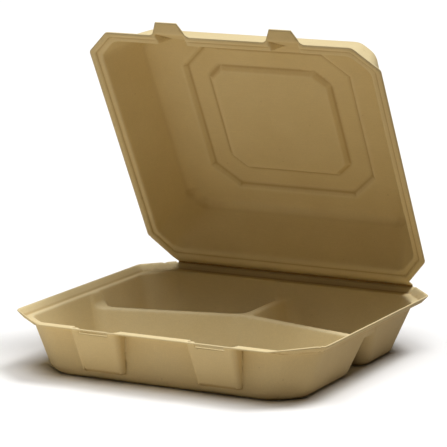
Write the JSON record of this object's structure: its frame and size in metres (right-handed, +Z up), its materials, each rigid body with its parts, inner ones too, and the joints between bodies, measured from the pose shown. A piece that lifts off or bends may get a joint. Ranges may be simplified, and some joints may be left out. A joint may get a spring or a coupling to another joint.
{
  "type": "bagasse clamshell container",
  "caption": "Moulded-fibre takeaway clamshell: a divided tray with upturned rim and tab slots, and a deep hinged lid with locking tabs, standing part open.",
  "frame": {"origin": "on the resting plane under the middle of the tray's rim", "axes": "+Z up; +X along the hinge; -Y towards the locking tabs, +Y towards the hinge"},
  "size_m": [0.23, 0.24, 0.2305],
  "materials": {
    "bagasse_fibre": "matte natural unbleached fibre"
  },
  "bodies": {
    "tray": {"base_tray": "bagasse_fibre"},
    "lid": {"lid": "bagasse_fibre"}
  },
  "joints": [
    {"name": "lid_hinge", "type": "hinge", "parent": "tray", "child": "lid", "pos_m": [0, 0.11264, 0.04013], "axis": [-1, 0, 0], "range_deg": [-58, 122]}
  ]
}
